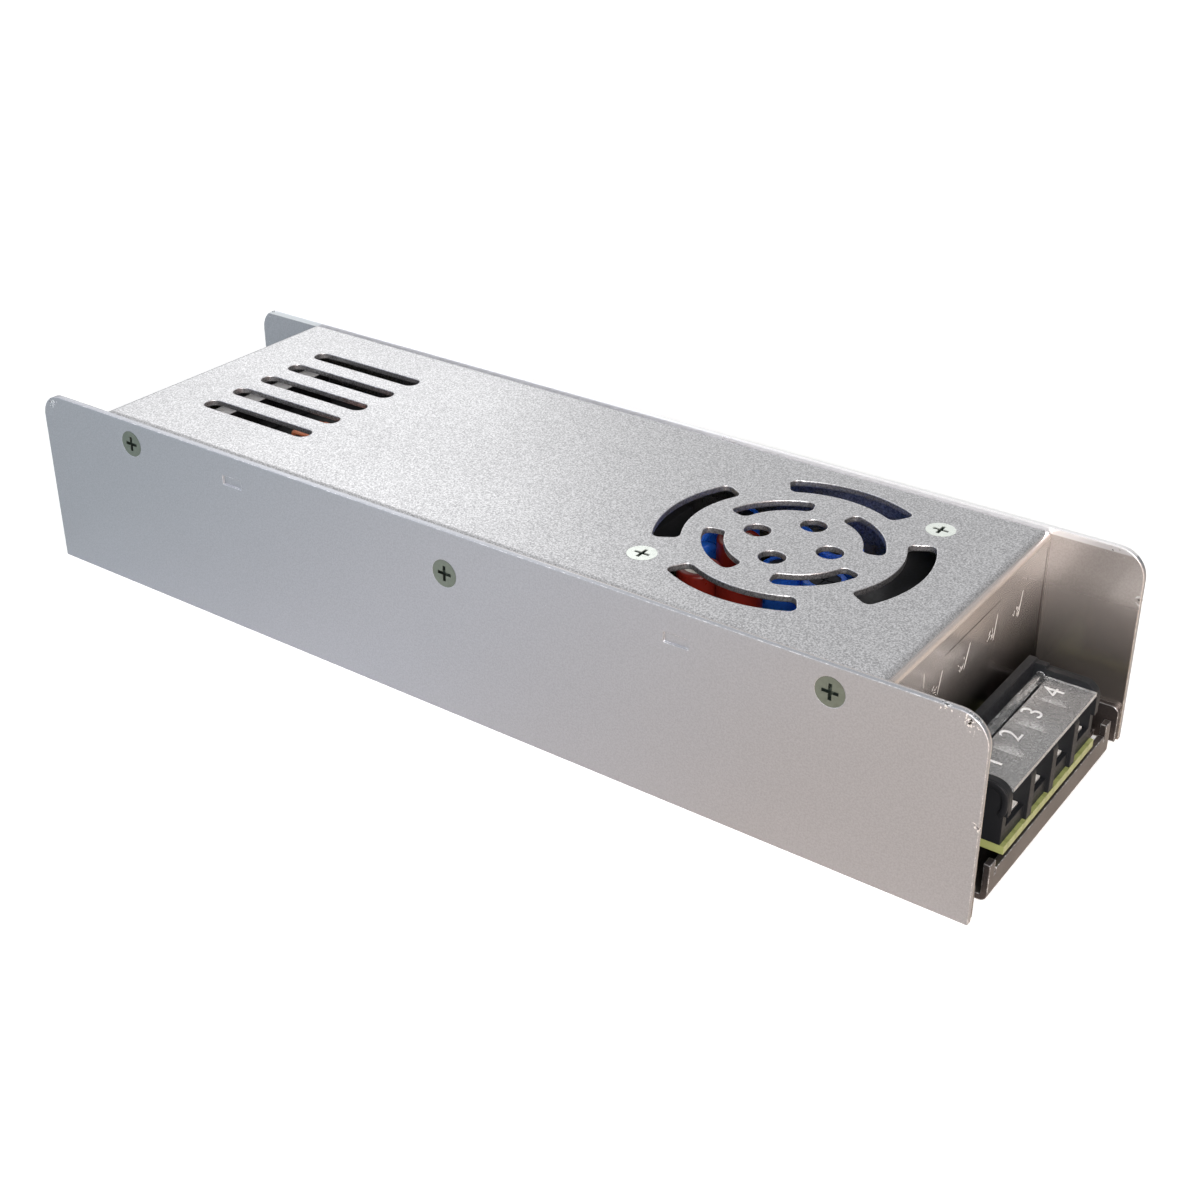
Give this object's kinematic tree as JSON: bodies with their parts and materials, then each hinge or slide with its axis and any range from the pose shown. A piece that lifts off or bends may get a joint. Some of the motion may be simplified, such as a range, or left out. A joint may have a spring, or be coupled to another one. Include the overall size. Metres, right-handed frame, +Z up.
{
  "type": "enclosed power supply",
  "caption": "Slim enclosed switching power supply: a folded metal case with vents, side walls that run past the cover, and a lidded screw terminal block at each end.",
  "frame": {"origin": "centre of the case's underside", "axes": "+X along the case towards the output terminals, +Y across it to the far wall, +Z up"},
  "size_m": [0.224, 0.068, 0.04],
  "materials": {
    "case_aluminium": "satin",
    "zinc_plated_screw": "satin",
    "bright_screw": "polished",
    "board_standoff_brass": "satin",
    "insulating_film": "matte",
    "circuit_board": "semi-gloss",
    "terminal_black": "matte",
    "clear_lid": "clear",
    "tinned_contact": "satin",
    "nickel_clamp": "satin",
    "fuse_glass": "clear",
    "blue_coating": "gloss",
    "black_coating": "matte",
    "yellow_box": "semi-gloss",
    "grey_box": "matte",
    "black_package": "matte",
    "heatsink_aluminium": "satin",
    "black_heatsink": "anodised, satin",
    "ferrite": "matte",
    "copper_winding": "enamelled copper",
    "winding_tape": "tape",
    "can_aluminium": "satin",
    "dark_sleeve": "semi-gloss",
    "red_sleeve": "semi-gloss",
    "blue_sleeve": "semi-gloss"
  },
  "bodies": {
    "case": {"base_tray": "case_aluminium", "blue_capacitor_cans": "can_aluminium", "blue_capacitor_sleeves": "blue_sleeve", "board_screws": "zinc_plated_screw", "board_standoffs": "board_standoff_brass", "bridge_rectifier": "black_package", "bulk_capacitor_cans": "can_aluminium", "bulk_capacitor_sleeves": "dark_sleeve", "circuit_board": "circuit_board", "control_chip": "black_package", "far_side_wall": "case_aluminium", "filter_capacitor": "grey_box", "fuse_caps": "nickel_clamp", "fuse_clips": "tinned_contact", "fuse_tube": "fuse_glass", "grille_nuts": "zinc_plated_screw", "grille_screws": "bright_screw", "input_contacts": "tinned_contact", "input_film_capacitor": "yellow_box", "input_heatsink": "heatsink_aluminium", "input_terminal_block": "terminal_black", "inrush_thermistor": "black_coating", "insulating_film": "insulating_film", "line_choke_core": "ferrite", "line_choke_windings": "copper_winding", "near_side_wall": "case_aluminium", "output_choke_core": "ferrite", "output_choke_winding": "copper_winding", "output_contacts": "tinned_contact", "output_heatsink": "black_heatsink", "output_rectifiers": "black_package", "output_terminal_block": "terminal_black", "package_screws": "zinc_plated_screw", "primary_heatsink": "heatsink_aluminium", "red_capacitor_cans": "can_aluminium", "red_capacitor_sleeves": "red_sleeve", "suppressor_capacitors": "blue_coating", "surge_varistor": "blue_coating", "switch_transistors": "black_package", "top_cover": "case_aluminium", "transformer_bobbin": "black_package", "transformer_core": "ferrite", "transformer_winding": "winding_tape", "wall_screws": "zinc_plated_screw"},
    "output_lid": {"output_terminal_lid": "clear_lid"},
    "output_clamp_1": {"output_wire_clamp_1": "nickel_clamp"},
    "output_screw_1": {"output_terminal_screw_1": "nickel_clamp"},
    "output_clamp_2": {"output_wire_clamp_2": "nickel_clamp"},
    "output_screw_2": {"output_terminal_screw_2": "nickel_clamp"},
    "output_clamp_3": {"output_wire_clamp_3": "nickel_clamp"},
    "output_screw_3": {"output_terminal_screw_3": "nickel_clamp"},
    "output_clamp_4": {"output_wire_clamp_4": "nickel_clamp"},
    "output_screw_4": {"output_terminal_screw_4": "nickel_clamp"},
    "input_lid": {"input_terminal_lid": "clear_lid"},
    "input_clamp_1": {"input_wire_clamp_1": "nickel_clamp"},
    "input_screw_1": {"input_terminal_screw_1": "nickel_clamp"},
    "input_clamp_2": {"input_wire_clamp_2": "nickel_clamp"},
    "input_screw_2": {"input_terminal_screw_2": "nickel_clamp"},
    "input_clamp_3": {"input_wire_clamp_3": "nickel_clamp"},
    "input_screw_3": {"input_terminal_screw_3": "nickel_clamp"}
  },
  "joints": [
    {"name": "output_lid_hinge", "type": "hinge", "parent": "case", "child": "output_lid", "pos_m": [0.1008, -0.00135, 0.01835], "axis": [0, -1, 0], "range_deg": [0, 105]},
    {"name": "output_clamp_1_lift", "type": "slide", "parent": "case", "child": "output_clamp_1", "axis": [0, 0, 1], "range_m": [0, 0.0015]},
    {"name": "output_screw_1_turn", "type": "hinge", "parent": "output_clamp_1", "child": "output_screw_1", "pos_m": [0.1045, -0.0156, 0.014], "axis": [0, 0, 1], "range_deg": [0, 1080]},
    {"name": "output_clamp_2_lift", "type": "slide", "parent": "case", "child": "output_clamp_2", "axis": [0, 0, 1], "range_m": [0, 0.0015]},
    {"name": "output_screw_2_turn", "type": "hinge", "parent": "output_clamp_2", "child": "output_screw_2", "pos_m": [0.1045, -0.0061, 0.014], "axis": [0, 0, 1], "range_deg": [0, 1080]},
    {"name": "output_clamp_3_lift", "type": "slide", "parent": "case", "child": "output_clamp_3", "axis": [0, 0, 1], "range_m": [0, 0.0015]},
    {"name": "output_screw_3_turn", "type": "hinge", "parent": "output_clamp_3", "child": "output_screw_3", "pos_m": [0.1045, 0.0034, 0.014], "axis": [0, 0, 1], "range_deg": [0, 1080]},
    {"name": "output_clamp_4_lift", "type": "slide", "parent": "case", "child": "output_clamp_4", "axis": [0, 0, 1], "range_m": [0, 0.0015]},
    {"name": "output_screw_4_turn", "type": "hinge", "parent": "output_clamp_4", "child": "output_screw_4", "pos_m": [0.1045, 0.0129, 0.014], "axis": [0, 0, 1], "range_deg": [0, 1080]},
    {"name": "input_lid_hinge", "type": "hinge", "parent": "case", "child": "input_lid", "pos_m": [-0.1008, 0, 0.01835], "axis": [0, 1, 0], "range_deg": [0, 105]},
    {"name": "input_clamp_1_lift", "type": "slide", "parent": "case", "child": "input_clamp_1", "axis": [0, 0, 1], "range_m": [0, 0.0015]},
    {"name": "input_screw_1_turn", "type": "hinge", "parent": "input_clamp_1", "child": "input_screw_1", "pos_m": [-0.1045, 0.0095, 0.014], "axis": [0, 0, 1], "range_deg": [0, 1080]},
    {"name": "input_clamp_2_lift", "type": "slide", "parent": "case", "child": "input_clamp_2", "axis": [0, 0, 1], "range_m": [0, 0.0015]},
    {"name": "input_screw_2_turn", "type": "hinge", "parent": "input_clamp_2", "child": "input_screw_2", "pos_m": [-0.1045, 0, 0.014], "axis": [0, 0, 1], "range_deg": [0, 1080]},
    {"name": "input_clamp_3_lift", "type": "slide", "parent": "case", "child": "input_clamp_3", "axis": [0, 0, 1], "range_m": [0, 0.0015]},
    {"name": "input_screw_3_turn", "type": "hinge", "parent": "input_clamp_3", "child": "input_screw_3", "pos_m": [-0.1045, -0.0095, 0.014], "axis": [0, 0, 1], "range_deg": [0, 1080]}
  ],
  "couplings": [
    {"joint": "output_screw_1_turn", "follows": "output_clamp_1_lift", "rad_per_m": 12566},
    {"joint": "output_screw_2_turn", "follows": "output_clamp_2_lift", "rad_per_m": 12566},
    {"joint": "output_screw_3_turn", "follows": "output_clamp_3_lift", "rad_per_m": 12566},
    {"joint": "output_screw_4_turn", "follows": "output_clamp_4_lift", "rad_per_m": 12566},
    {"joint": "input_screw_1_turn", "follows": "input_clamp_1_lift", "rad_per_m": 12566},
    {"joint": "input_screw_2_turn", "follows": "input_clamp_2_lift", "rad_per_m": 12566},
    {"joint": "input_screw_3_turn", "follows": "input_clamp_3_lift", "rad_per_m": 12566}
  ]
}
